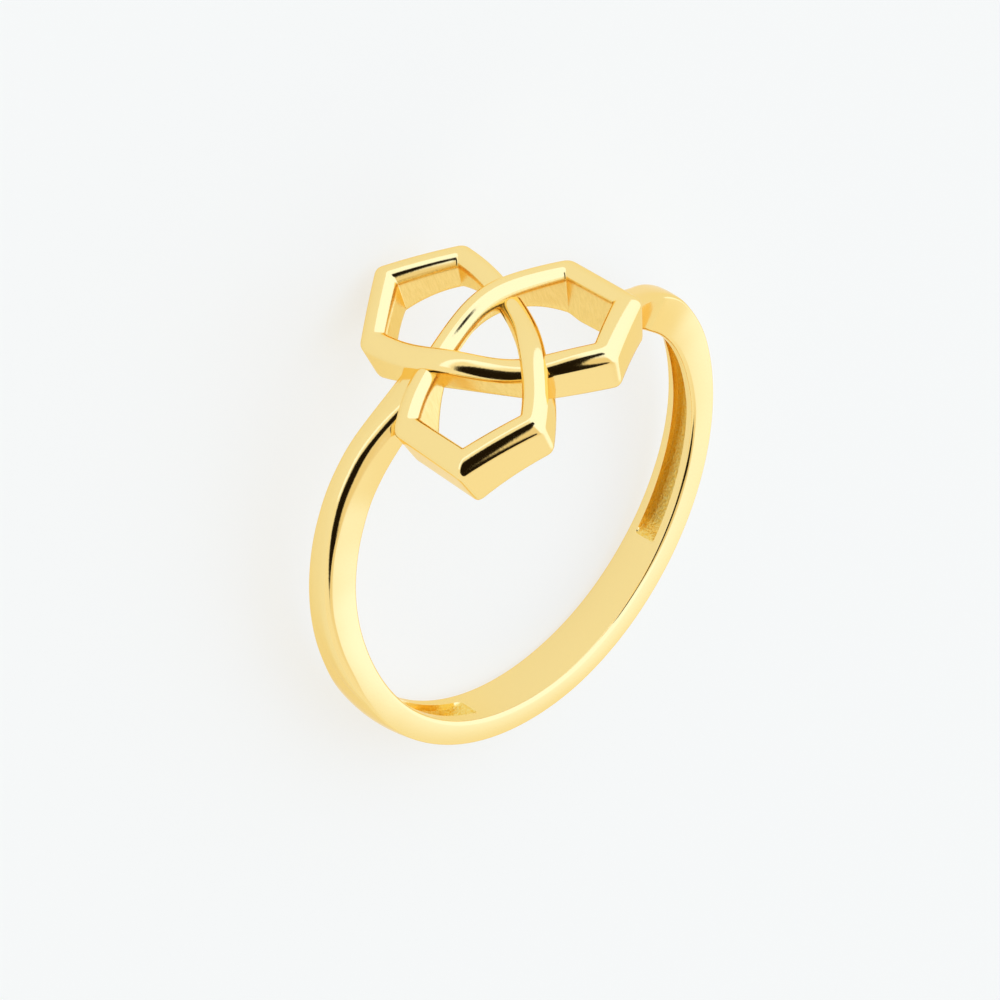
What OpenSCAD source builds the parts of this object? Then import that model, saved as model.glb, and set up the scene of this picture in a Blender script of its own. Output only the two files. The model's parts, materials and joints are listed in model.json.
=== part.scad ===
// Trinity knot ring: one cast piece, a slim shank whose shoulders sweep up into a
// woven three-lobed knot. The ring is built upright (x across the finger, y along the
// finger, z up through the knot) and then laid on its side, the way it rests by itself.

/* [Finger hole] */
// Inside diameter of the ring
finger_d = 17.2; // [16.8:0.1:17.6]

/* [Knot] */
// Distance from the knot's centre to the tip of a lobe
lobe_tip = 5.69; // [5.5:0.01:5.9]
// Angle between a lobe's axis and its two straight tip sides
tip_half_angle = 58; // [56:0.5:60]
// Width of a strand, edge to edge
strand_w = 0.95; // [0.8:0.01:1.1]
// Mean radius of a strand's arc
strand_r = 9.365; // [9.2:0.005:9.6]
// Distance from the knot's centre to the centre of a strand's arc
strand_reach = 8.055; // [7.9:0.005:8.2]
// Height of the knot's top edges over the finger's axis, at its middle
knot_h = 10.3; // [10.1:0.05:10.5]
// Radius of the bend that the knot takes round the finger
knot_bend = 14.2; // [12:0.1:18]
// How steeply the knot rises along the finger, away from the front
knot_slope = 0.04; // [0:0.01:0.08]
// How much more steeply each strand's own top faces the front
strand_roll = 0.16; // [0:0.01:0.2]
// Rise of the rounded top over a strand's edges
crown = 0.28; // [0.15:0.01:0.35]
// How far a strand rises where it passes over, and sinks where it passes under
weave = 0.31; // [0.1:0.01:0.35]
// Distance of the knot's centre from the middle of the shank, towards the front
knot_shift = 1.76; // [1.6:0.02:1.9]
// Distance of the knot's centre from the middle of the shank, across the finger
knot_offset = 0.35; // [0.2:0.05:0.5]
// Share of its own depth and of its distance across that a side wall leans inwards
wall_lean = 0.06; // [0:0.01:0.08]
// Distance from the finger's axis to the knot's hollowed underside, at its middle
belly_r = 9.75; // [9.5:0.05:9.85]

/* [Shank] */
// Depth of the two hollows inside the shank
recess_depth = 0.45; // [0.2:0.05:0.6]
// Width of the two hollows
recess_w = 0.85; // [0.5:0.05:0.9]
// Angle at which each hollow stops, measured from the lowest point of the shank
recess_stop = 36; // [20:1:60]

/* [Hidden] */
$fn = 96;
finger_r = finger_d / 2;
gold = [0.93, 0.76, 0.38];

// The shank's outline, read anticlockwise round the finger's axis. Angles run from the
// right-hand side through the knot (90) and the lowest point (270) to the front
// shoulder (425). wall is the thickness over the finger circle, front and back are the
// two side faces, along the finger.
// Columns: angle, wall, front, back
SHANK = [
    [102, 1.20, -1.00, 0.42],
    [112, 1.22, -0.75, 0.58],
    [118, 1.37, -0.55, 0.65],
    [126, 1.60, -0.36, 0.74],
    [136, 1.65, -0.24, 0.82],
    [148, 1.56, -0.26, 0.85],
    [160, 1.45, -0.34, 0.85],
    [170, 1.34, -0.48, 0.86],
    [182, 1.26, -0.70, 0.87],
    [200, 1.15, -0.92, 0.91],
    [225, 1.08, -1.02, 0.94],
    [265, 1.05, -1.02, 0.94],
    [300, 1.08, -0.87, 0.90],
    [320, 1.12, -0.77, 0.84],
    [340, 1.16, -0.68, 0.74],
    [352, 1.18, -0.64, 0.68],
    [362, 1.18, -0.61, 0.60],
    [372, 1.05, -0.64, 0.46],
    [378, 0.95, -0.78, 0.30],
    [387, 0.75, -1.05, 0.00],
    [394, 0.65, -1.45, -0.42],
    [400, 0.62, -1.85, -0.85],
    [406, 0.62, -2.25, -1.25],
    [415, 0.64, -2.85, -1.85],
    [425, 0.58, -3.30, -2.30],
];
shank_step = 5;
shank_ease = 4;
shank_crown = 0.1;
shank_inset = 0.5;
arc_steps = 14;
crown_steps = 4;
strap_start = 378;
underside_gap = 0.05;
belly_open = 0.24;
belly_curve = 0.096;
bore_length = 24;
crown_share = 0.25;
bore_inset = 1;
recess_top = 24;

// A column of a table at an angle, eased over its rows
function column(table, i) = [for (row = table) [row[0], row[i]]];
function eased(table, i, angle) =
    let (c = column(table, i))
    (lookup(angle - shank_ease, c) + lookup(angle, c) + lookup(angle + shank_ease, c)) / 3;
function on_circle(r, angle) = [r * cos(angle), r * sin(angle)];
function turned(p, angle) =
    [p[0] * cos(angle) - p[1] * sin(angle), p[0] * sin(angle) + p[1] * cos(angle)];
function mix(a, b, t) = a + (b - a) * t;

// A closed tube through rings of points that all have the same number of points
module skin(rings) {
    n = len(rings[0]);
    last = (len(rings) - 1) * n;
    sides = [
        for (i = [0:len(rings) - 2], j = [0:n - 1])
            let (k = (j + 1) % n)
            each [
                [i * n + j, i * n + k, (i + 1) * n + k],
                [i * n + j, (i + 1) * n + k, (i + 1) * n + j]
            ]
    ];
    start = [[for (j = [n - 1:-1:0]) j]];
    end = [[for (j = [0:n - 1]) last + j]];
    polyhedron(points = [for (r = rings) each r], faces = concat(sides, start, end));
}

// One section of the shank: its two side faces and a slightly crowned outside. The
// finger hole cuts it to the finger circle, except along the front shoulder's strap.
function shank_section(angle) =
    let (
        r = finger_r + eased(SHANK, 1, angle),
        front = eased(SHANK, 2, angle),
        back = eased(SHANK, 3, angle),
        inner = finger_r + (angle < strap_start ? -shank_inset : underside_gap),
        middle = (front + back) / 2,
        half = (back - front) / 2
    )
    [
        for (p = [
            [inner, front],
            [inner, back],
            [r - shank_crown, back],
            [r - shank_crown * crown_share, middle + half * 0.5],
            [r, middle],
            [r - shank_crown * crown_share, middle - half * 0.5],
            [r - shank_crown, front]
        ])
            let (c = on_circle(p[0], angle)) [c[0], p[1], c[1]]
    ];

// The shank from the back shoulder, round under the finger, to the front shoulder
module shank() {
    first = SHANK[0][0];
    turns = SHANK[len(SHANK) - 1][0] - first;
    steps = ceil(turns / shank_step);
    skin([for (i = [0:steps]) shank_section(first + turns * i / steps)]);
}

// The two hollows inside the shank, one up each side
module recesses() {
    sweep = 90 + recess_top - recess_stop;
    for (start = [recess_stop - 90, 180 - recess_top])
        rotate([90, 0, 0])
            rotate_extrude(angle = sweep, start = start)
                translate([finger_r - bore_inset, -recess_w / 2])
                    square([bore_inset + recess_depth, recess_w]);
}

// Corners of a strand, drawn for the strand that faces +y; side is 1 right, -1 left.
// The lobe at its right-hand end points to -30 degrees.
function lobe_axis(side) = side > 0 ? -30 : 210;
function tip_point(side, offset) =
    on_circle(lobe_tip - strand_w / 2 / sin(tip_half_angle) + offset / sin(tip_half_angle),
        lobe_axis(side));
function side_direction(side) = lobe_axis(side) + side * (180 - tip_half_angle);
function arc_corner(side, offset) =
    let (
        p = tip_point(side, offset),
        a = side_direction(side),
        d = [cos(a), sin(a)],
        q = [p[0], p[1] + strand_reach],
        r = strand_r + offset,
        b = q[0] * d[0] + q[1] * d[1],
        c = q[0] * q[0] + q[1] * q[1] - r * r
    )
    p + d * (sqrt(b * b - c) - b);
function arc_angle(side, offset) =
    let (p = arc_corner(side, offset)) atan2(p[1] + strand_reach, p[0]);
function arc_point(offset, t) =
    on_circle(strand_r + offset, mix(arc_angle(-1, offset), arc_angle(1, offset), t))
        - [0, strand_reach];

// Share of the weave's rise along a strand: over at the right, under at the left
function weave_share(t) = sin(360 * (t - 0.5)) * pow(sin(180 * t), 2);

// Plan points of a strand at one offset from its middle line, with the weave's share
function strand_line(offset) = concat(
    [concat(tip_point(-1, offset), 0)],
    [for (i = [0:arc_steps]) let (t = i / arc_steps)
        concat(arc_point(offset, t), weave_share(t))],
    [concat(tip_point(1, offset), 0)]
);

// Height of the knot's top edges, bent round the finger and sloping along it
function knot_top(q) =
    knot_h - knot_bend + sqrt(knot_bend * knot_bend - q[0] * q[0]) + knot_slope * q[1];

// The underside is hollowed in the middle and falls away to just off the finger circle
function foot_r(q) =
    belly_r + belly_open * (q[1] + knot_shift)
        - belly_curve * (pow(q[0], 2) + pow(q[1] + knot_shift, 2));
function foot(q) =
    sqrt(pow(max(foot_r(q), finger_r + underside_gap), 2) - pow(q[0], 2));
function over_shank(p, angle) = turned(p, angle) - [knot_offset, knot_shift];
function leaned(q, depth) = [q[0] * (1 - wall_lean * depth), q[1]];

// A point p of the rounded top beside its middle-line point m, and the point where
// the side wall below it ends
function placed(p, m, angle, rise) =
    let (q = over_shank(p, angle), n = over_shank(m, angle))
    [q[0], q[1], knot_top(q) + strand_roll * (q[1] - n[1]) + weave * p[2] + rise];
function sunk(p, angle) =
    let (
        q = over_shank(p, angle),
        near = leaned(q, knot_top(q) - foot(q)),
        end = leaned(q, knot_top(q) - foot(near))
    )
    [end[0], end[1], foot(end)];

// One strand of the knot: from a lobe's tip, over one strand, under the next, to the
// next lobe's tip
module strand(angle) {
    across = [for (j = [0:crown_steps]) mix(-1, 1, j / crown_steps)];
    lines = [for (u = across) strand_line(u * strand_w / 2)];
    spine = strand_line(0);
    skin([
        for (i = [0:arc_steps + 2])
            concat(
                [sunk(lines[0][i], angle)],
                [for (j = [0:crown_steps])
                    placed(lines[j][i], spine[i], angle, crown * (1 - pow(across[j], 2)))],
                [sunk(lines[crown_steps][i], angle)]
            )
    ]);
}

module knot() {
    for (angle = [0, 120, 240]) strand(angle);
}

// The shank and the knot grown together into one skin, at the size they have
module body() {
    resize([0, 0, 0]) union() {
        shank();
        knot();
    }
}

module finger_hole() {
    rotate([90, 0, 0]) cylinder(r = finger_r, h = bore_length, center = true);
}

// The lying ring touches the surface with the far lobe's lower corner and with the
// lowest point of the shank
tip_y = lobe_tip - knot_shift;
tip_z = finger_r;
low_back = eased(SHANK, 3, 270);
low_r = finger_r + eased(SHANK, 1, 270) - shank_crown;
lie_tilt = atan((tip_y - low_back) / (tip_z + low_r));
lie_height = tip_y * cos(lie_tilt) - tip_z * sin(lie_tilt);

// Half of what the lying ring reaches further on one side than on the other, so that
// it stands over the middle of its own outline
ridge_y = tip_y - strand_w / 2 / sin(tip_half_angle);
knot_reach = (knot_h + knot_slope * ridge_y + crown) * cos(lie_tilt)
    + ridge_y * sin(lie_tilt);
low_reach = low_r * cos(lie_tilt) - eased(SHANK, 2, 270) * sin(lie_tilt);
middle = [
    (eased(SHANK, 1, 180) - eased(SHANK, 1, 358)) / 2,
    (low_reach - knot_reach) / 2
];

module ring() color(gold)
    translate([-middle[0], -middle[1], lie_height])
        rotate([0, 0, 180])
            rotate([lie_tilt - 90, 0, 0])
                difference() {
                    body();
                    finger_hole();
                    recesses();
                }

ring();
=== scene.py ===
"""Looks of a cast gold ring whose shoulders sweep up into a woven trinity knot."""

import json
import logging
from dataclasses import dataclass
from enum import Enum, IntEnum

import bpy
import numpy as np
from mathutils import Matrix, Vector

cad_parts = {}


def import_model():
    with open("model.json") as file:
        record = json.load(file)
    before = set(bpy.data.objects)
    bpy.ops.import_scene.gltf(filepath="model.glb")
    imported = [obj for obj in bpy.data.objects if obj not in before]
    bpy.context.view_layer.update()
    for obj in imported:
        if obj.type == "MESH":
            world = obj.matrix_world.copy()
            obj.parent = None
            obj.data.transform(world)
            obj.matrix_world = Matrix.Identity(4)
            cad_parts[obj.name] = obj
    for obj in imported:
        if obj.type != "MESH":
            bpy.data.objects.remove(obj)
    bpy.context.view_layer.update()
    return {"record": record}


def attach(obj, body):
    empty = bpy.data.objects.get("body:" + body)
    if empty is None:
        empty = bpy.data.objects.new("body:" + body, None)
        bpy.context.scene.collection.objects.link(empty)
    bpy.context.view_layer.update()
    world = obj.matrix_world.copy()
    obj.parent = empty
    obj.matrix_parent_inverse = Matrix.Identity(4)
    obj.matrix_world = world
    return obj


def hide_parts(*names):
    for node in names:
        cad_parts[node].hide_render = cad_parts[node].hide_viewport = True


# Lengths are in millimetres and angles in degrees, where nothing else is said.
MM = 0.001
MOUNT_Y = -0.04
SHARP_EDGE = 38.0
QUARTER_TURN = 90.0
HALF_TURN = 180.0
PICTURE_W = 1000.0
log = logging.getLogger("trinity_ring")

Pair = tuple[float, float]
Triple = tuple[float, float, float]
Colour = Triple
Table = tuple[tuple[float, ...], ...]
Array = np.ndarray
Socket = bpy.types.NodeSocket
Feed = Socket | float | tuple[float, ...]


class Zone(Enum):
    """Material slots of the ring's pieces, in the order that they are assigned."""

    POLISHED = 0
    ROUGH_CAST = 1
    SATIN = 2


class Column(IntEnum):
    """The columns of the shank's outline."""

    ANGLE = 0
    WALL = 1
    FRONT = 2
    BACK = 3
    ROUNDING = 4


class End(IntEnum):
    """The two ends of a strand that faces +y, by the sign of their x."""

    LEFT = -1
    RIGHT = 1


class Easing(Enum):
    """How a ramp goes from its start to its end."""

    EVEN = "LINEAR"
    SOFT = "SMOOTHSTEP"


class Reckoning(Enum):
    """What a math node works out."""

    DEGREES = "DEGREES"
    ARCTAN2 = "ARCTAN2"
    ARCSINE = "ARCSINE"
    SUBTRACT = "SUBTRACT"
    MULTIPLY = "MULTIPLY"
    MAXIMUM = "MAXIMUM"


def unit(vector: Array) -> Array:
    """Return the vector at length one."""
    return vector / np.linalg.norm(vector)


def smooth_step(x: Array, low: float, high: float) -> Array:
    """Rise from 0 at low to 1 at high with level ends: 3t^2 - 2t^3.

    Args:
        x: Where to read the step.
        low: Where it starts to rise.
        high: Where it has risen.

    Returns:
        The height of the step, of the shape of x.
    """
    t = np.clip((x - low) / (high - low), 0.0, 1.0)
    return t * t * (3.0 - 2.0 * t)


def band_between(x: Array, low: float, high: float, edge: float) -> Array:
    """Return 1 between low and high and 0 outside, with soft edges.

    Args:
        x: Where to read the band.
        low: The middle of its lower edge.
        high: The middle of its upper edge.
        edge: How wide each edge is.

    Returns:
        The height of the band, of the shape of x.
    """
    half = edge / 2
    rise = smooth_step(x, low - half, low + half)
    return rise * (1.0 - smooth_step(x, high - half, high + half))


def eased(angles: Array, values: Array, phi: Array, reach: float, samples: int) -> Array:
    """Read a table at the angles phi, averaged round each of them.

    The straight run between the rows is averaged with a raised-cosine window.

    Args:
        angles: The rows' angles, in rising order.
        values: The rows' values.
        phi: The angles to read it at.
        reach: How far the window reaches to either side of an angle.
        samples: How many readings it averages.

    Returns:
        One value for each angle.
    """
    offsets = np.linspace(-reach, reach, samples)
    weights = 1.0 + np.cos(np.pi * offsets / reach)
    return np.interp(phi[:, None] + offsets, angles, values) @ weights / weights.sum()


def rounded(start: Array, corner: Array, end: Array, t: Array) -> Array:
    """Return points t of a curve: start, corner, end by (1-t)^2, 2t(1-t) and t^2."""
    return (1 - t) ** 2 * start + 2 * t * (1 - t) * corner + t**2 * end


def grid_mesh(name: str, points: Array, closed_ends: bool) -> bpy.types.Mesh:
    """Make a mesh from rings of points, each ring closed on itself.

    Quad (i, j) joins points j and j + 1 of ring i to those of ring i + 1, modulo the
    ring's length. With closed_ends the last ring joins the first, otherwise the first
    and last rings get a flat face each.

    Args:
        name: The mesh's name.
        points: Rings by points by xyz, in metres.
        closed_ends: Whether the rings themselves run round in a loop.

    Returns:
        The new mesh.
    """
    rings, around = points.shape[:2]
    count = rings if closed_ends else rings - 1
    i, j = np.meshgrid(np.arange(count), np.arange(around), indexing="ij")
    ring_on, point_on = (i + 1) % rings, (j + 1) % around
    here, there = i * around, ring_on * around
    quads = np.stack((here + j, there + j, there + point_on, here + point_on), axis=-1)
    faces = quads.reshape(-1, 4).tolist()
    if not closed_ends:
        faces.append(list(range(around)))
        faces.append(list(range((rings - 1) * around, rings * around))[::-1])
    mesh = bpy.data.meshes.new(name)
    mesh.from_pydata(points.reshape(-1, 3).tolist(), [], faces)
    mesh.update()
    return mesh


@dataclass(frozen=True)
class RingAxes:
    """The upright ring's own axes, as the lying ring holds them.

    x runs across the finger, y along the finger away from the front face, and z up
    through the knot; sizes in these axes are in millimetres.
    """

    origin: Array
    axes: Array
    finger_r: float

    @classmethod
    def from_record(cls, record: dict) -> "RingAxes":
        """Read the finger hole's mount: its axis is the ring's own -y, and x is -X.

        The mount's point is the middle of the shank's width, MOUNT_Y along y.

        Args:
            record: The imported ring's record.

        Returns:
            The ring's axes.
        """
        hole = next(m for m in record["mounts"] if m["name"] == "finger_hole")
        along = -unit(np.array(hole["axis"], float))
        across = np.array([-1.0, 0.0, 0.0])
        up = np.cross(across, along)
        origin = np.array(hole["pos_m"], float) - MOUNT_Y * MM * along
        return cls(origin, np.stack([across, along, up]), hole["dims"]["r_mm"])

    def place(self, points: Array) -> Array:
        """Turn points in the ring's own axes (mm) into world points (m)."""
        return self.origin + (points * MM) @ self.axes

    def turn(self, direction: Array) -> Array:
        """Turn a direction in the ring's own axes into a world direction."""
        return direction @ self.axes


@dataclass(frozen=True)
class NodeBench:
    """A node tree at work: nodes are added to it with what their inputs read."""

    tree: bpy.types.NodeTree

    def feed(self, node: bpy.types.Node, feeds: dict[str | int, Feed]) -> None:
        """Join a node's inputs to other nodes' outputs, or set them to plain values.

        Args:
            node: The node.
            feeds: What its inputs read, by their names or numbers.
        """
        for name, value in feeds.items():
            if isinstance(value, Socket):
                self.tree.links.new(value, node.inputs[name])
            else:
                node.inputs[name].default_value = value

    def add(self, kind: str, feeds: dict[str | int, Feed]) -> bpy.types.Node:
        """Add a node and feed its inputs.

        Args:
            kind: The node's type.
            feeds: What its inputs read, by their names or numbers.

        Returns:
            The new node.
        """
        node = self.tree.nodes.new(kind)
        self.feed(node, feeds)
        return node

    def place(self) -> Socket:
        """Return the place on the piece, in its own axes."""
        return self.add("ShaderNodeTexCoord", {}).outputs["Object"]

    def noise(self, place: Feed, scale: float, detail: float) -> Socket:
        """Return the height of a noise of that scale at the place."""
        feeds = {"Vector": place, "Scale": scale, "Detail": detail}
        return self.add("ShaderNodeTexNoise", feeds).outputs["Fac"]

    def bump(self, height: Feed, distance: float) -> Socket:
        """Return the normal of a surface that the height raises by that distance."""
        feeds = {"Height": height, "Distance": distance}
        return self.add("ShaderNodeBump", feeds).outputs["Normal"]

    def tint(self, share: Feed, stops: Pair, dark: Colour, light: Colour) -> Socket:
        """Blend two colours between two stops.

        Args:
            share: What the blend follows.
            stops: Where it is still all dark, and where it is all light.
            dark: The first colour.
            light: The second colour.

        Returns:
            The blended colour.
        """
        node = self.add("ShaderNodeValToRGB", {"Fac": share})
        for element, stop, colour in zip(node.color_ramp.elements, stops, (dark, light)):
            element.position = stop
            element.color = (*colour, 1.0)
        return node.outputs["Color"]

    def ramp(self, value: Feed, span: tuple[Feed, Feed], to: Pair, easing: Easing) -> Socket:
        """Carry a value from one span to another and hold it at both ends.

        Args:
            value: What the ramp follows.
            span: Where it starts and stops.
            to: What it gives at its start and at its stop.
            easing: How it goes between them.

        Returns:
            The ramp's height.
        """
        feeds = {"Value": value, "From Min": span[0], "From Max": span[1]}
        node = self.add("ShaderNodeMapRange", {**feeds, "To Min": to[0], "To Max": to[1]})
        node.interpolation_type = easing.value
        return node.outputs["Result"]

    def rise(self, value: Feed, start: Feed, stop: Feed) -> Socket:
        """Return a soft rise from 0 at start to 1 at stop."""
        return self.ramp(value, (start, stop), (0.0, 1.0), Easing.SOFT)

    def fall(self, value: Feed, start: Feed, stop: Feed) -> Socket:
        """Return a soft fall from 1 at start to 0 at stop."""
        return self.ramp(value, (start, stop), (1.0, 0.0), Easing.SOFT)

    def math(self, work: Reckoning, a: Feed, b: Feed = 0.0) -> Socket:
        """Work out one number from one or two others.

        Args:
            work: What is worked out.
            a: The first number.
            b: The second number, where there is one.

        Returns:
            The result.
        """
        node = self.add("ShaderNodeMath", {0: a, 1: b})
        node.operation = work.value
        return node.outputs[0]

    def mix(self, share: Feed, low: Feed, high: Feed) -> Socket:
        """Mix two colours by a share.

        Args:
            share: The second colour's share.
            low: The colour at share 0.
            high: The colour at share 1.

        Returns:
            The mixed colour.
        """
        node = self.add("ShaderNodeMix", {})
        node.data_type = "RGBA"
        share_input, low_input, high_input, colour_output = 0, 6, 7, 2
        self.feed(node, {share_input: share, low_input: low, high_input: high})
        return node.outputs[colour_output]


@dataclass(frozen=True)
class MetalFinish:
    """What the ring's finishes share: bare gold, golden at a glancing angle too.

    Scales are per metre, and heights in metres.
    """

    name: str
    glance: Colour = (1.0, 0.86, 0.56)

    def begin(self) -> tuple[bpy.types.Material, NodeBench, bpy.types.Node]:
        """Start the material.

        Returns:
            The material, the bench of its nodes and its shader.
        """
        material = bpy.data.materials.new(self.name)
        material.use_nodes = True
        bench = NodeBench(material.node_tree)
        shader = material.node_tree.nodes["Principled BSDF"]
        bench.feed(shader, {"Metallic": 1.0, "Specular Tint": (*self.glance, 1.0)})
        return material, bench, shader


@dataclass(frozen=True)
class GoldFinish(MetalFinish):
    """Polished yellow gold: a clear mirror with faint polishing marks."""

    name: str = "polished_gold"
    colour: Colour = (1.0, 0.77, 0.32)
    roughness: Pair = (0.05, 0.13)
    cloud_scale: float = 420.0
    cloud_detail: float = 3.0
    mark_scale: float = 9000.0
    mark_detail: float = 2.0
    mark_height: float = 0.0000012

    def build(self) -> bpy.types.Material:
        """Make the material: clouds of roughness and a fine, low bump.

        Returns:
            The new material.
        """
        material, bench, shader = self.begin()
        place = bench.place()
        clouds = bench.noise(place, self.cloud_scale, self.cloud_detail)
        marks = bench.noise(place, self.mark_scale, self.mark_detail)
        bench.feed(shader, {
            "Base Color": (*self.colour, 1.0),
            "Roughness": bench.ramp(clouds, (0.0, 1.0), self.roughness, Easing.EVEN),
            "Normal": bench.bump(marks, self.mark_height),
        })
        return material


@dataclass(frozen=True)
class RoughCastFinish(MetalFinish):
    """Unpolished gold as it comes from the mould, in the hollows of the shank."""

    name: str = "rough_cast_gold"
    dark: Colour = (0.97, 0.62, 0.10)
    light: Colour = (1.0, 0.80, 0.28)
    tint_stops: Pair = (0.35, 0.7)
    grain_scale: float = 12000.0
    grain_detail: float = 4.0
    grain_height: float = 0.00004
    roughness: float = 0.38

    def build(self) -> bpy.types.Material:
        """Make the material: grains coloured and raised by one noise.

        Returns:
            The new material.
        """
        material, bench, shader = self.begin()
        grain = bench.noise(bench.place(), self.grain_scale, self.grain_detail)
        bench.feed(shader, {
            "Base Color": bench.tint(grain, self.tint_stops, self.dark, self.light),
            "Roughness": self.roughness,
            "Normal": bench.bump(grain, self.grain_height),
        })
        return material


@dataclass(frozen=True)
class SatinFinish(MetalFinish):
    """Gold that only a file has smoothed, with fine marks up and down the walls."""

    name: str = "satin_gold"
    dark: Colour = (0.94, 0.66, 0.21)
    light: Colour = (1.0, 0.73, 0.26)
    tint_stops: Pair = (0.3, 0.65)
    stretch: Triple = (16000.0, 900.0, 16000.0)
    mark_detail: float = 2.0
    mark_height: float = 0.0000015
    roughness: float = 0.22

    def build(self) -> bpy.types.Material:
        """Make the material: one noise, drawn out along the walls, tints and raises it.

        Returns:
            The new material.
        """
        material, bench, shader = self.begin()
        drawn = bench.add("ShaderNodeMapping", {"Vector": bench.place(), "Scale": self.stretch})
        marks = bench.noise(drawn.outputs["Vector"], 1.0, self.mark_detail)
        bench.feed(shader, {
            "Base Color": bench.tint(marks, self.tint_stops, self.dark, self.light),
            "Roughness": self.roughness,
            "Normal": bench.bump(marks, self.mark_height),
        })
        return material


FINISHES = {
    Zone.POLISHED: GoldFinish(),
    Zone.ROUGH_CAST: RoughCastFinish(),
    Zone.SATIN: SatinFinish(),
}


def dressed(name: str, mesh: bpy.types.Mesh, zones: Array) -> bpy.types.Object:
    """Make the object, shade it smooth and give each face its zone's finish.

    Args:
        name: The piece's name.
        mesh: Its mesh.
        zones: The Zone value of each face.

    Returns:
        The new object, linked to the scene.
    """
    piece = bpy.data.objects.new(name, mesh)
    bpy.context.scene.collection.objects.link(piece)
    for zone in list(Zone)[: int(zones.max()) + 1]:
        finish = FINISHES[zone]
        mesh.materials.append(bpy.data.materials.get(finish.name) or finish.build())
    mesh.polygons.foreach_set("material_index", zones)
    mesh.polygons.foreach_set("use_smooth", np.ones(len(mesh.polygons), bool))
    mesh.set_sharp_from_angle(angle=np.radians(SHARP_EDGE))
    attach(piece, "root")
    log.info("%s: %d faces", name, len(mesh.polygons))
    return piece


@dataclass(frozen=True)
class ShankCut:
    """The shank's sizes at the stations phi, every one a column of numbers.

    dip is how far the inside's front edge comes inside the finger circle, and kept is
    the share of it that the back edge has.
    """

    phi: Array
    wall: Array
    front: Array
    back: Array
    rounding: Array
    dip: Array
    kept: Array


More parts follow.
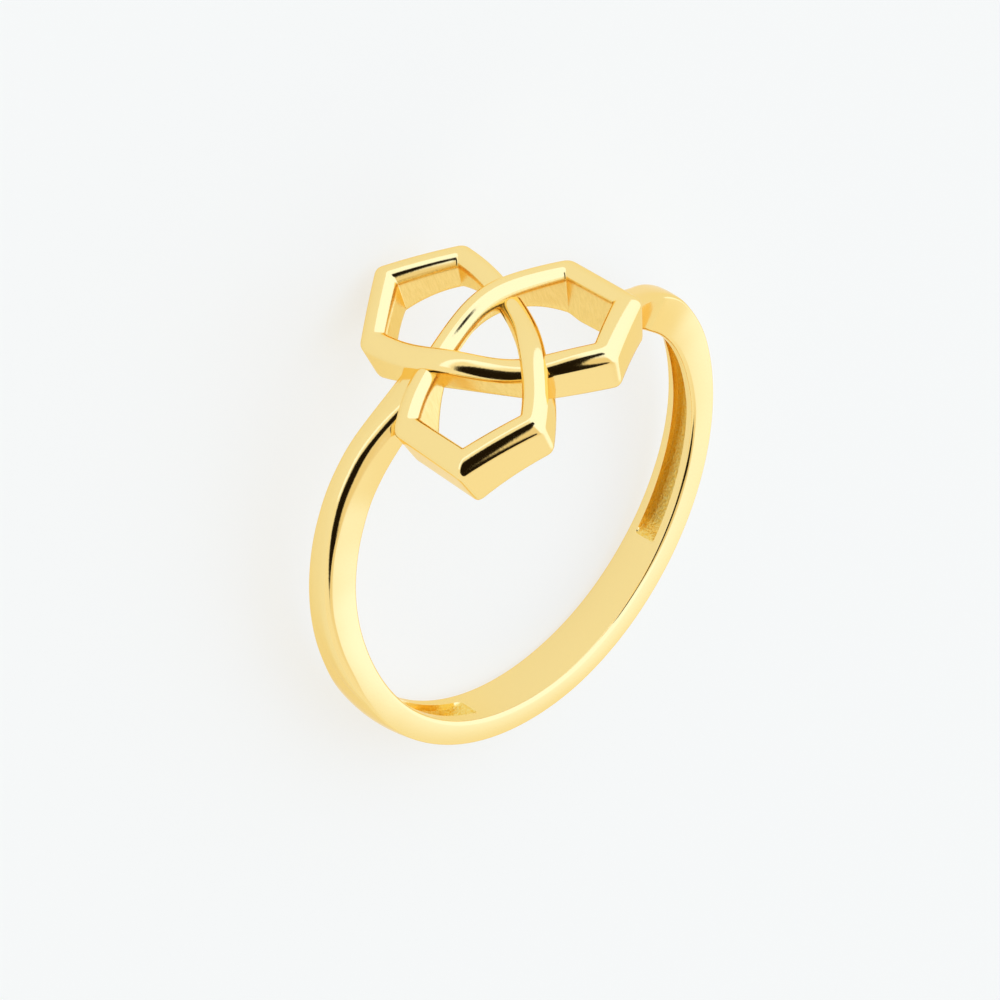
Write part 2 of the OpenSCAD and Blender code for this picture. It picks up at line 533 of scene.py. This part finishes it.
@dataclass
class Shank:
    """The slim band, from the back shoulder round under the finger to the front one.

    Angles are read anticlockwise round the finger's axis, from +x through the knot (90
    degrees) and the lowest point (270). Columns of outline: angle, wall over the finger
    circle, front face, back face, rounding of the outside's front corner. Columns of
    dip: angle, how far the inside's front edge comes inside the finger circle.
    """

    axes: RingAxes
    outline: Table = (
        (102, 1.28, -1.00, 0.42, 0.30),
        (112, 1.22, -0.75, 0.58, 0.55),
        (118, 1.37, -0.55, 0.65, 0.70),
        (126, 1.60, -0.36, 0.74, 0.68),
        (136, 1.65, -0.24, 0.82, 0.60),
        (148, 1.54, -0.26, 0.85, 0.42),
        (160, 1.42, -0.34, 0.85, 0.42),
        (170, 1.31, -0.48, 0.86, 0.46),
        (182, 1.19, -0.70, 0.87, 0.46),
        (190, 1.16, -0.82, 0.89, 0.20),
        (200, 1.15, -0.92, 0.91, 0.12),
        (225, 1.08, -1.02, 0.94, 0.12),
        (265, 1.05, -1.02, 0.94, 0.12),
        (300, 1.08, -0.87, 0.90, 0.12),
        (320, 1.12, -0.77, 0.84, 0.12),
        (340, 1.16, -0.68, 0.74, 0.12),
        (352, 1.18, -0.64, 0.68, 0.12),
        (362, 1.18, -0.61, 0.60, 0.12),
        (372, 1.02, -0.64, 0.46, 0.14),
        (378, 0.90, -0.78, 0.30, 0.18),
        (387, 0.54, -1.05, 0.00, 0.25),
        (394, 0.36, -1.45, -0.42, 0.38),
        (400, 0.30, -1.85, -0.85, 0.45),
        (406, 0.34, -2.25, -1.25, 0.45),
        (415, 0.50, -2.85, -1.85, 0.40),
        (425, 0.55, -3.30, -2.30, 0.30),
    )
    ease: float = 6.0
    ease_samples: int = 25
    trim: float = 0.012
    stations: int = 640
    # The back edge has all of the dip before back_half, then none, and over dip_turn it
    # comes to dip_back of it. The front edge's dip fades into the back edge's between
    # the shares dip_across of the width.
    dip: Table = (
        (102, -0.62), (110, -0.34), (118, -0.08), (124, 0.0), (342, 0.0), (352, 0.12),
        (359, 0.20), (366, 0.33), (372.5, 0.54), (381, 0.88), (393, 1.17), (400, 1.17),
        (409, 0.85), (418, 0.3), (425, -0.05),
    )
    dip_ease: float = 5.0
    dip_samples: int = 15
    dip_back: float = 0.6
    dip_turn: Pair = (368.0, 390.0)
    dip_across: Pair = (0.35, 1.0)
    back_half: float = 180.0
    # The outside has a crown, corners and a fin up the back shoulder. fin_line gives an
    # angle and a place across, from -1 at the back to 1 at the front, for both ends of
    # the fin's line; past the last end the line lies off the band, at fin_off.
    inner_fillet: float = 0.16
    crown: float = 0.10
    crown_half: float = 0.8
    round_rise: float = 0.65
    back_share: float = 0.60
    fin_line: tuple[Pair, Pair] = ((164.0, -1.2), (191.0, 1.0))
    fin_slope: float = 0.16
    fin_off: float = 2.0
    top_points: int = 41
    corner_points: int = 9
    # The two hollows: across the inside come a land, a wall, the floor, a wall and a
    # land, with inner_points on each and stop_depths at the six stops between them.
    # A hollow is rough all over from rough_share of its depth on, and a face is rough
    # when one of its corners is by more than rough_from. Where the band is narrow, its
    # sizes are taken as least_half and least_width at least.
    hollow_depth: float = 0.45
    hollow_w: float = 0.85
    hollow_edge: float = 0.04
    hollow_fade: float = 5.0
    hollow_spans: tuple[Pair, Pair] = ((156.0, 233.2), (306.8, 384.0))
    end_reach: float = 0.8
    end_stations: int = 13
    rough_share: float = 0.1
    rough_from: float = 0.5
    inner_points: tuple[int, ...] = (4, 9, 9, 9, 4)
    stop_depths: tuple[float, ...] = (0.0, 0.0, 1.0, 1.0, 0.0, 0.0)
    land: float = 0.3
    least_half: float = 0.05
    least_width: float = 0.1

    def column(self, column: Column, phi: Array) -> Array:
        """Read a column of the outline at the angles phi, eased."""
        rows = np.array(self.outline).T
        return eased(rows[Column.ANGLE], rows[column], phi, self.ease, self.ease_samples)[:, None]

    def station_angles(self) -> Array:
        """Space the stations evenly, with extra ones at the hollows' ends.

        Returns:
            The angles, rising.
        """
        first, last = self.outline[0][Column.ANGLE], self.outline[-1][Column.ANGLE]
        ends = np.array(self.hollow_spans).ravel()
        extra = np.linspace(-self.end_reach, self.end_reach, self.end_stations)
        fine = (ends[:, None] + extra).ravel()
        even = np.linspace(first, last, self.stations)
        return np.union1d(even, fine[(fine > first) & (fine < last)])

    def cut(self, phi: Array) -> ShankCut:
        """Read the shank's sizes at every angle.

        Args:
            phi: The angles of the stations.

        Returns:
            The sizes.
        """
        angles, depths = np.array(self.dip).T
        dip = eased(angles, depths, phi, self.dip_ease, self.dip_samples)[:, None]
        kept = self.dip_back * smooth_step(phi, *self.dip_turn)[:, None]
        kept = np.where(phi[:, None] < self.back_half, 1.0, kept)
        wall = self.column(Column.WALL, phi) - self.trim
        front, back = self.column(Column.FRONT, phi), self.column(Column.BACK, phi)
        return ShankCut(phi, wall, front, back, self.column(Column.ROUNDING, phi), dip, kept)

    def stops(self, cut: ShankCut) -> Array:
        """Place the six stops across the inside.

        They are the front edge, the hollow's two front edges and two back edges, and
        the back edge. Where the band is too narrow for the hollow and its lands, the
        hollow's edges are squeezed towards the middle of the width.

        Args:
            cut: The shank's sizes at each station.

        Returns:
            The y of each stop, stations by stops.
        """
        half_hollow = self.hollow_w / 2
        lips = np.array([
            -half_hollow - self.hollow_edge, -half_hollow + self.hollow_edge,
            half_hollow - self.hollow_edge, half_hollow + self.hollow_edge,
        ])
        middle = (cut.front + cut.back) / 2
        room = np.clip((cut.back - cut.front) / 2 - self.inner_fillet, self.least_half, None)
        squeeze = np.minimum(room / (half_hollow + self.land), 1.0)
        ends = cut.front + self.inner_fillet, cut.back - self.inner_fillet
        return np.concatenate([ends[0], middle + lips * squeeze, ends[1]], axis=1)

    def inside(self, cut: ShankCut) -> tuple[Array, Array, Array]:
        """Work out the inside from front to back: the finger circle less the dip.

        A hollow adds hollow_depth times its share across times its share along.

        Args:
            cut: The shank's sizes at each station.

        Returns:
            Radius and y of each point, and how far each point is in the rough zone.
        """
        runs = [np.linspace(i, i + 1.0, n)[:-1] for i, n in enumerate(self.inner_points)]
        across = np.append(np.concatenate(runs), float(len(runs)))
        stops = self.stops(cut)
        run = np.clip(across.astype(int), 0, len(runs) - 1)
        share = across - run
        y = stops[:, run] * (1 - share) + stops[:, run + 1] * share
        level = np.interp(across, np.arange(len(runs) + 1.0), self.stop_depths)[None, :]
        spans = [band_between(cut.phi, a, b, self.hollow_fade) for a, b in self.hollow_spans]
        reach = sum(spans)[:, None]
        width = np.clip(cut.back - cut.front, self.least_width, None)
        far = smooth_step(np.clip((y - cut.front) / width, 0.0, 1.0), *self.dip_across)
        sink = cut.dip * (1.0 - (1.0 - cut.kept) * far)
        r = self.axes.finger_r + self.hollow_depth * (level * reach) - sink
        return r, y, level * np.minimum(reach / self.rough_share, 1.0)

    def quarter(self) -> Array:
        """Return the angles of a corner's points, over a quarter turn."""
        return np.radians(np.linspace(0.0, QUARTER_TURN, self.corner_points))[None, :]

    def outside(self, cut: ShankCut) -> tuple[Array, Array]:
        """Work out the outside from the back face's top to the front face's.

        Between the corners the radius is edge + crown (1 - u^2), u running from -1 at
        the back to 1 at the front. Each corner is a piece of ellipse that starts at
        the crown's own slope. Up the back shoulder the outside rises at fin_slope on
        the front side of the fin's line.

        Args:
            cut: The shank's sizes at each station.

        Returns:
            Radius and y of each point.
        """
        quarter = self.quarter()
        (fin_start, line_start), (fin_end, line_end) = self.fin_line
        line = np.interp(cut.phi, (fin_start, fin_end), (line_start, line_end), right=self.fin_off)
        line = line[:, None]
        front_y, back_y = cut.rounding, cut.rounding * self.back_share
        half = (cut.back - back_y - cut.front - front_y) / 2
        crown = self.crown * np.minimum(half / self.crown_half, 1.0) ** 2
        edge = self.axes.finger_r + cut.wall - crown
        start = np.arctan(2 * crown / half / self.round_rise)
        first = cut.front + front_y * (1 - np.sin(start))
        last = cut.back - back_y * (1 - np.sin(start))
        half = (last - first) / 2
        turn = start + quarter * (1 - start / quarter[0, -1])
        bend_down = (np.cos(turn) - np.cos(start)) * self.round_rise
        u = np.linspace(-1.0, 1.0, self.top_points)[None, 1:-1]
        y_top = first + half * (1 - u)
        r_top = edge + crown * (1 - u * u) + self.fin_slope * half * np.maximum(u - line, 0.0)
        high = edge + self.fin_slope * half * np.maximum(1.0 - line, 0.0)
        r_back = edge + back_y * bend_down[:, ::-1]
        y_back = cut.back - back_y * (1 - np.sin(turn[:, ::-1]))
        r_front = high + front_y * bend_down
        y_front = cut.front + front_y * (1 - np.sin(turn))
        r = np.concatenate([r_back, r_top, r_front], axis=1)
        return r, np.concatenate([y_back, y_top, y_front], axis=1)

    def section(self, cut: ShankCut) -> tuple[Array, Array, Array]:
        """Work out the closed section at every station.

        The section runs along the inside from front to back, round the inner back
        corner, over the outside and round the inner front corner. Both inner corners
        are quarter circles.

        Args:
            cut: The shank's sizes at each station.

        Returns:
            Radius and y of each point, and how far each point is in the rough zone.
        """
        fillet, quarter = self.inner_fillet, self.quarter()
        r_in, y_in, rough_in = self.inside(cut)
        r_out, y_out = self.outside(cut)
        low_back = self.axes.finger_r - cut.dip * cut.kept
        low_front = self.axes.finger_r - cut.dip
        r_back = low_back + fillet * (1 - np.cos(quarter))
        y_back = cut.back - fillet + fillet * np.sin(quarter)
        r_front = low_front + fillet * (1 - np.sin(quarter))
        y_front = cut.front + fillet - fillet * np.cos(quarter)
        r = np.concatenate([r_in, r_back[:, 1:], r_out, r_front[:, :-1]], axis=1)
        y = np.concatenate([y_in, y_back[:, 1:], y_out, y_front[:, :-1]], axis=1)
        rough = np.zeros_like(r)
        rough[:, : r_in.shape[1]] = rough_in
        return r, y, rough

    def build(self) -> bpy.types.Object:
        """Carry the section round the finger's axis and mark the hollows' faces.

        A point lies its radius times the cosine of its angle across the finger, its
        radius times the sine upwards, and its y along. A face is rough where one of its
        corners is.

        Returns:
            The finished piece.
        """
        phi = self.station_angles()
        r, y, rough = self.section(self.cut(phi))
        angle = np.radians(phi)[:, None]
        local = np.stack([r * np.cos(angle), y, r * np.sin(angle)], axis=-1)
        mesh = grid_mesh("shank", self.axes.place(local), closed_ends=False)
        zones = np.full(len(mesh.polygons), Zone.POLISHED.value, np.int32)
        sides = np.maximum(rough, np.roll(rough, -1, axis=1))
        faces = np.maximum(sides[:-1], sides[1:]).ravel()
        zones[: faces.size][faces > self.rough_from] = Zone.ROUGH_CAST.value
        return dressed("shank", mesh, zones)


@dataclass
class Knot:
    """Three woven strands that run on into each other at three mitred lobe tips.

    Each strand has a rounded top, side walls that lean with the knot's bend round the
    finger, and an underside that is hollowed in the middle and falls away to the
    finger circle. Offsets u run across a strand, outwards from its middle line.
    """

    axes: RingAxes
    # In plan a strand is an arc of radius strand_r, its middle strand_reach from the
    # knot's own, with a straight side to a lobe's tip at either end.
    strands: int = 3
    lobe_tip: float = 5.68
    lobe_turn: float = 120.0
    left_lobe: float = 210.0
    right_lobe: float = -30.0
    tip_half_angle: float = 58.0
    strand_w: float = 0.95
    strand_r: float = 9.365
    strand_reach: float = 8.055
    corner_round: Pair = (0.05, 0.25)
    shift: Pair = (-0.35, -1.76)
    # The top edges lie on a circle of radius bend round the finger, which peaks at
    # knot_h. A strand rolls with its y, its top is crowned and it weaves up and down.
    knot_h: float = 10.25
    bend: float = 14.2
    slope: float = 0.04
    roll: float = 0.16
    crown: float = 0.325
    weave: float = 0.31
    # The walls lean; the outer ones are satin between the shares crossing of the arc.
    wall_lean: float = 0.06
    lean_rounds: int = 2
    belly_r: float = 9.76
    belly_open: float = 0.24
    belly_curve: float = 0.096
    edge_fillet: float = 0.08
    foot_fillet: float = 0.27
    crossing: Pair = (0.3, 0.7)
    strand_gap: float = 0.006
    # Numbers of stations and points. The underside's slope at its edge is read over
    # foot_step offset lines, its points lie foot_margin lines in from the edge, and
    # polished_edge faces below an outer top edge stay polished.
    arc_stations: int = 110
    side_stations: int = 16
    curve_points: int = 9
    top_points: int = 27
    wall_points: int = 8
    bevel_points: int = 5
    foot_points: int = 9
    foot_step: int = 3
    foot_margin: int = 5
    polished_edge: int = 2

    def lobe_axis(self, end: End) -> float:
        """Return the angle of the lobe at a strand's end."""
        return self.right_lobe if end is End.RIGHT else self.left_lobe

    def tip(self, end: End, u: Array) -> Array:
        """Place a lobe's tip on each offset line of the strand that faces +y.

        It lies on the lobe's axis, further out by u over the sine of tip_half_angle.

        Args:
            end: The strand's end.
            u: The offset lines.

        Returns:
            Offsets by xy.
        """
        axis = np.radians(self.lobe_axis(end))
        rise = np.sin(np.radians(self.tip_half_angle))
        reach = self.lobe_tip - self.strand_w / 2 / rise + u / rise
        return reach[:, None] * np.array([np.cos(axis), np.sin(axis)])

    def side_direction(self, end: End, turn: int = 1) -> Array:
        """Return the way from a lobe's tip along its side; turn -1 is its other side."""
        angle = np.radians(self.lobe_axis(end) + turn * end * (HALF_TURN - self.tip_half_angle))
        return np.array([np.cos(angle), np.sin(angle)])

    def corner(self, end: End, u: Array) -> Array:
        """Place the corner where a straight side meets the strand's arc.

        It is the far crossing of the line p + t d with the circle of radius
        strand_r + u about (0, -strand_reach).

        Args:
            end: The strand's end.
            u: The offset lines.

        Returns:
            Offsets by xy.
        """
        p, d = self.tip(end, u), self.side_direction(end)
        q = p + np.array([0.0, self.strand_reach])
        b = q @ d
        c = (q * q).sum(axis=1) - (self.strand_r + u) ** 2
        return p + (np.sqrt(b * b - c) - b)[:, None] * d

    def on_arc(self, angle: Array, u: Array) -> Array:
        """Return plan points on the arc: its middle plus the radius at that angle."""
        radius = self.strand_r + u
        return np.stack([radius * np.cos(angle), radius * np.sin(angle) - self.strand_reach], -1)

    def end_run(self, end: End, u: Array) -> tuple[Array, Array]:
        """Run from the middle of a lobe's tip to the start of the arc.

        A straight side joins two corners. Each corner is rounded by a curve that starts
        and ends further away from it on the outer offset lines.

        Args:
            end: The strand's end.
            u: The offset lines.

        Returns:
            Plan points, stations by offsets by xy, and the arc's start angle on each
            offset line.
        """
        half = self.strand_w / 2
        rounding = np.interp(u, (-half, half), self.corner_round)[:, None]
        t = np.linspace(0.0, 1.0, self.curve_points)[:, None, None]
        tip, corner, d = self.tip(end, u), self.corner(end, u), self.side_direction(end)
        before, after = tip + rounding * self.side_direction(end, -1), tip + rounding * d
        tip_curve = rounded(before, tip, after, t)
        near = corner - rounding * d
        s = np.linspace(0.0, 1.0, self.side_stations)[1:-1, None, None]
        straight = after * (1 - s) + near * s
        angle = np.arctan2(corner[:, 1] + self.strand_reach, corner[:, 0])
        angle = angle + end * rounding[:, 0] / (self.strand_r + u)
        corner_curve = rounded(near, corner, self.on_arc(angle, u), t)
        return np.concatenate([tip_curve[self.curve_points // 2:], straight, corner_curve]), angle

    def plan(self, u: Array) -> tuple[Array, Array]:
        """Lay one strand out flat, from the left lobe's tip to the right one's.

        Between the runs of both ends the angle on the arc goes evenly from one arc
        start to the other.

        Args:
            u: The offset lines.

        Returns:
            Plan points, stations by offsets by xy, and the share of the way along the
            arc at each station (0 and 1 on the straight sides).
        """
        (left, a_left), (right, a_right) = self.end_run(End.LEFT, u), self.end_run(End.RIGHT, u)
        s = np.linspace(0.0, 1.0, self.arc_stations)[1:-1, None]
        arc = self.on_arc(a_left * (1 - s) + a_right * s, u)
        share = np.concatenate([np.zeros(len(left)), s[:, 0], np.ones(len(right) - 1)])
        return np.concatenate([left, arc, right[::-1][:-1]]), share

    def top_height(self, x: Array, y: Array) -> Array:
        """Height of the knot's top edges: a circle round the finger, sloping along it."""
        return self.knot_h - self.bend + np.sqrt(self.bend**2 - x * x) + self.slope * y

    def foot_height(self, x: Array, y: Array, gap: float) -> Array:
        """Height of the underside: a shallow bowl that ends on the finger circle.

        The bowl's radius about the finger's axis is belly_r + belly_open y' -
        belly_curve (x^2 + y'^2), y' being measured from the knot's middle.

        Args:
            x: Where, across the finger.
            y: Where, along the finger.
            gap: How much higher this strand's underside lies.

        Returns:
            The heights over the finger's axis.
        """
        along = y - self.shift[1]
        radius = self.belly_r + self.belly_open * along - self.belly_curve * (x * x + along**2)
        return np.sqrt(np.maximum(radius, self.axes.finger_r) ** 2 - x * x) + gap

    def foot(self, xy: Array, top: Array, gap: float) -> Array:
        """Place the lower end of the side wall below each top point.

        The wall leans inwards by wall_lean times its depth and its x, and the depth is
        settled in lean_rounds rounds.

        Args:
            xy: Plan points of the top.
            top: Their heights.
            gap: What keeps the three undersides apart where they meet.

        Returns:
            Points of the shape of xy, with xyz.
        """
        x, y = xy[..., 0], xy[..., 1]
        end = x
        for _ in range(self.lean_rounds):
            end = x * (1.0 - self.wall_lean * (top - self.foot_height(end, y, gap)))
        return np.stack([end, y, self.foot_height(end, y, gap)], axis=-1)

    def bevel(self, start: Array, sharp: Array, end: Array) -> Array:
        """Round a sharp edge at every station, its start and end included."""
        t = np.linspace(0.0, 1.0, self.bevel_points)[:, None]
        return rounded(start[:, None], sharp[:, None], end[:, None], t)

    def flank(self, top: Array, near: Array, foot: Array, inward: Array) -> Array:
        """Run from the rounded top's last point over the edge, down the wall and under.

        The wall is the straight line between its two sharp edges, and both edges are
        rounded, over edge_fillet above and foot_fillet below.

        Args:
            top: The sharp top edge at each station.
            near: The rounded top's last point before that edge.
            foot: The sharp lower edge.
            inward: A point of the underside further in.

        Returns:
            Stations by points by xyz, in order downwards.
        """
        down = foot - top
        down = down / np.linalg.norm(down, axis=1, keepdims=True)
        under = inward - foot
        under = under / np.linalg.norm(under, axis=1, keepdims=True)
        first, last = top + self.edge_fillet * down, foot - self.foot_fillet * down
        s = np.linspace(0.0, 1.0, self.wall_points)[1:-1, None]
        wall = first[:, None] * (1 - s) + last[:, None] * s
        upper = self.bevel(near, top, first)[:, 1:]
        lower = self.bevel(last, foot, foot + self.foot_fillet * under)
        return np.concatenate([upper, wall, lower], axis=1)

    def strand(self, number: int, plan: Array, share: Array, across: Array) -> Array:
        """Carry the section along one strand.

        The top is an arc of a circle across, and it rises and sinks along the strand
        by weave sin(2 pi (s - 1/2)) sin(pi s)^2, s being the share of the way.

        Args:
            number: Which strand, 0 to 2; each is the last one turned by lobe_turn.
            plan: The flat strand's plan points, stations by offsets by xy.
            share: The share of the way along the arc at each station.
            across: Where the offset lines lie, from -1 to 1.

        Returns:
            Stations by points round the section by xyz.
        """
        half = self.strand_w / 2
        middle = len(across) // 2
        weave = self.weave * np.sin(2 * np.pi * (share - 0.5)) * np.sin(np.pi * share) ** 2
        arc_r = (half**2 + self.crown**2) / (2 * self.crown)
        dome = np.sqrt(arc_r**2 - (across * half) ** 2) - (arc_r - self.crown)
        angle = np.radians(self.lobe_turn * number)
        turn = np.array([[np.cos(angle), np.sin(angle)], [-np.sin(angle), np.cos(angle)]])
        xy = plan @ turn + np.array(self.shift)
        lift = self.roll * (xy[..., 1] - xy[:, middle : middle + 1, 1]) + weave[:, None]
        top = self.top_height(xy[..., 0], xy[..., 1]) + lift
        upper = np.concatenate([xy, (top + dome)[..., None]], axis=-1)
        under = self.foot(xy, top, number * self.strand_gap)
        step = self.foot_step
        right = self.flank(upper[:, -1], upper[:, -2], under[:, -1], under[:, -1 - step])
        left = self.flank(upper[:, 0], upper[:, 1], under[:, 0], under[:, step])
        last = len(across) - 1 - self.foot_margin
        pick = np.linspace(last, self.foot_margin, self.foot_points).round().astype(int)
        return np.concatenate([upper[:, 1:-1], right, under[:, pick], left[:, ::-1]], axis=1)

    def zones(self, stations: int, around: int, share: Array) -> Array:
        """Mark the walls that face the openings as satin.

        They are all the inner walls, and the outer ones where a strand crosses the
        middle, apart from their polished upper edge. A flank has wall_points - 2 points
        on its wall, bevel_points at its foot and one fewer at its top, with a face
        between each two of them.

        Args:
            stations: How many rings of points all three strands have.
            around: How many points each ring has.
            share: The share of the way along the arc at each station of a strand.

        Returns:
            The Zone value of each face, in the mesh's order.
        """
        zone = np.full((stations, around), Zone.POLISHED.value, np.int32)
        flank_faces = self.wall_points + 2 * self.bevel_points - 4
        right = self.top_points + self.polished_edge
        right_end = self.top_points + flank_faces
        crossing = np.tile((share > self.crossing[0]) & (share < self.crossing[1]), self.strands)
        zone[:, around - flank_faces:] = Zone.SATIN.value
        zone[crossing, right:right_end] = Zone.SATIN.value
        return zone.ravel()

    def build(self) -> bpy.types.Object:
        """Join the three strands end to end, as one closed loop.

        Returns:
            The finished piece.
        """
        half = self.strand_w / 2
        reach = 1.0 - self.edge_fillet / half
        across = np.concatenate([[-1.0], np.linspace(-reach, reach, self.top_points), [1.0]])
        plan, share = self.plan(across * half)
        strands = [self.strand(n, plan, share, across) for n in range(self.strands)]
        points = np.concatenate(strands)
        mesh = grid_mesh("knot", self.axes.place(points), closed_ends=True)
        return dressed("knot", mesh, self.zones(*points.shape[:2], share))


@dataclass(frozen=True)
class ProductCamera:
    """A long lens that looks down on the lying ring from its front.

    right and down are the picture's axes in the ring's own axes. aim is where the
    finger hole's middle falls, in the picture's points beside the lens axis, and scale
    is how many of them a millimetre takes there. clip is in metres.
    """

    axes: RingAxes
    right: Triple = (0.6729, -0.7113, -0.2033)
    down: Triple = (-0.6356, -0.4152, -0.6508)
    distance: float = 333.33
    scale: float = 27.32
    aim: Pair = (18.2, -2.3)
    sensor: float = 36.0
    clip: Pair = (0.01, 10.0)

    def build(self) -> None:
        """Place the camera and give it the lens that shows the ring at its scale."""
        right = unit(np.array(self.right))
        down = np.array(self.down)
        down = unit(down - right * (down @ right))
        forward = np.cross(right, down)
        turn = np.stack([right, down, forward])
        aside = np.array(self.aim) / self.scale
        eye = self.axes.place(-turn.T @ np.array([*aside, self.distance]))
        lens = bpy.data.cameras.new("product_lens")
        lens.sensor_width = self.sensor
        lens.lens = self.scale * self.distance * self.sensor / PICTURE_W
        lens.clip_start, lens.clip_end = self.clip
        camera = bpy.data.objects.new("product_camera", lens)
        columns = [self.axes.turn(right), self.axes.turn(-down), self.axes.turn(-forward)]
        matrix = Matrix([[*row] for row in np.array(columns).T]).to_4x4()
        matrix.translation = Vector(eye)
        camera.matrix_world = matrix
        bpy.context.scene.collection.objects.link(camera)
        bpy.context.scene.camera = camera


@dataclass(frozen=True)
class Studio:
    """A pale floor in a light tent, with a dark opening where the lens looks in.

    Directions are azimuth and elevation about the ring, and floor_size is in metres.
    Tones are what the tent shines with: its walls are pale below and warmer above, a
    window and a low strip are brighter, and the lens's opening is nearly black.
    """

    floor_size: float = 3.0
    floor_tone: Colour = (0.30, 0.292, 0.235)
    floor_glow: float = 0.67
    wall_low: Colour = (0.95, 0.94, 0.90)
    wall_high: Colour = (0.86, 0.77, 0.60)
    wall_rise: Pair = (30.0, 58.0)
    window: Colour = (1.08, 1.28, 1.8)
    opening: Colour = (0.012, 0.008, 0.004)
    window_at: Pair = (-162.0, 25.0)
    window_reach: Pair = (80.0, 66.0)
    strip_sides: Pair = (-110.0, -26.0)
    strip_top: float = 11.0
    strip_edge: float = 6.0
    opening_sides: Pair = (-92.0, 42.0)
    opening_low: tuple[Pair, Pair] = ((-90.0, 27.0), (-45.0, 13.0))
    opening_climb: tuple[Pair, Pair] = ((-15.0, 13.0), (35.0, 42.0))
    opening_high: tuple[Pair, Pair] = ((-70.0, 43.0), (40.0, 63.0))
    opening_edge: float = 3.0

    def floor(self) -> None:
        """Lay a matt, faintly glowing floor at the height where the ring rests."""
        half = self.floor_size / 2
        corners = [(-half, -half, 0.0), (half, -half, 0.0), (half, half, 0.0), (-half, half, 0.0)]
        mesh = bpy.data.meshes.new("floor")
        mesh.from_pydata(corners, [], [(0, 1, 2, 3)])
        piece = bpy.data.objects.new("floor", mesh)
        bpy.context.scene.collection.objects.link(piece)
        material = bpy.data.materials.new("matt_floor")
        material.use_nodes = True
        shader = material.node_tree.nodes["Principled BSDF"]
        NodeBench(material.node_tree).feed(shader, {
            "Base Color": (*self.floor_tone, 1.0),
            "Roughness": 1.0,
            "Specular IOR Level": 0.0,
            "Emission Color": (1.0, 1.0, 1.0, 1.0),
            "Emission Strength": self.floor_glow,
        })
        mesh.materials.append(material)

    def window_share(self, bench: NodeBench, direction: Feed, azimuth: Feed,
                     elevation: Feed) -> Socket:
        """Work out where the window and the low strip shine.

        The window is a soft cap round its middle: it follows the cosine between the
        direction and its middle. The strip lies between two azimuths, under its top.

        Args:
            bench: The world's nodes.
            direction: The direction from the ring.
            azimuth: Its azimuth.
            elevation: Its elevation.

        Returns:
            Their share, 0 to 1.
        """
        at, up = np.radians(self.window_at)
        middle = (np.cos(up) * np.cos(at), np.cos(up) * np.sin(at), np.sin(up))
        toward = bench.add("ShaderNodeVectorMath", {0: direction, 1: middle})
        toward.operation = "DOT_PRODUCT"
        far, near = np.cos(np.radians(self.window_reach))
        window = bench.rise(toward.outputs["Value"], far, near)
        (start, stop), soft = self.strip_sides, self.strip_edge
        sides = bench.math(Reckoning.MULTIPLY, bench.rise(azimuth, start, start + soft),
                           bench.fall(azimuth, stop - soft, stop))
        below = bench.fall(elevation, self.strip_top - soft, self.strip_top)
        strip = bench.math(Reckoning.MULTIPLY, sides, below)
        return bench.math(Reckoning.MAXIMUM, window, strip)

    def opening_share(self, bench: NodeBench, azimuth: Feed, elevation: Feed) -> Socket:
        """Work out where the dark opening lies.

        It lies between two azimuths, over the higher of two lower edges and under an
        upper edge. Each edge runs evenly between its two directions, level past them.

        Args:
            bench: The world's nodes.
            azimuth: The direction's azimuth.
            elevation: Its elevation.

        Returns:
            The opening's share, 0 to 1.
        """
        edge, (first, last) = self.opening_edge, self.opening_sides
        edges = self.opening_low, self.opening_climb, self.opening_high
        low, climb, high = (bench.ramp(azimuth, *zip(*ends), Easing.EVEN) for ends in edges)
        low = bench.math(Reckoning.MAXIMUM, low, climb)
        above = bench.rise(bench.math(Reckoning.SUBTRACT, elevation, low), -edge, edge)
        below = bench.rise(bench.math(Reckoning.SUBTRACT, high, elevation), -edge, edge)
        after = bench.rise(azimuth, first - edge, first + edge)
        before = bench.fall(azimuth, last - edge, last + edge)
        upright = bench.math(Reckoning.MULTIPLY, above, below)
        level = bench.math(Reckoning.MULTIPLY, after, before)
        return bench.math(Reckoning.MULTIPLY, upright, level)

    def light(self) -> None:
        """Paint the tent on the world: walls, then window and strip, then opening."""
        world = bpy.data.worlds.new("light_tent")
        world.use_nodes = True
        bench = NodeBench(world.node_tree)
        direction = bench.add("ShaderNodeTexCoord", {}).outputs["Generated"]
        x, y, z = bench.add("ShaderNodeSeparateXYZ", {0: direction}).outputs
        azimuth = bench.math(Reckoning.DEGREES, bench.math(Reckoning.ARCTAN2, y, x))
        elevation = bench.math(Reckoning.DEGREES, bench.math(Reckoning.ARCSINE, z))
        rise = bench.rise(elevation, *self.wall_rise)
        walls = bench.mix(rise, (*self.wall_low, 1.0), (*self.wall_high, 1.0))
        window = self.window_share(bench, direction, azimuth, elevation)
        lit = bench.mix(window, walls, (*self.window, 1.0))
        opening = self.opening_share(bench, azimuth, elevation)
        tent = bench.mix(opening, lit, (*self.opening, 1.0))
        bench.feed(world.node_tree.nodes["Background"], {"Color": tent})
        bpy.context.scene.world = world
        bpy.context.scene.view_settings.view_transform = "Standard"

    def build(self) -> None:
        """Build the floor and the light."""
        self.floor()
        self.light()


def main() -> None:
    """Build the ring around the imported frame, then its studio and camera."""
    logging.basicConfig(level=logging.INFO)
    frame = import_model()
    axes = RingAxes.from_record(frame["record"])
    shank = Shank(axes).build()
    knot = Knot(axes).build()
    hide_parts("ring")
    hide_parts("ring")
    Studio().build()
    ProductCamera(axes).build()


if __name__ == "__main__":
    main()
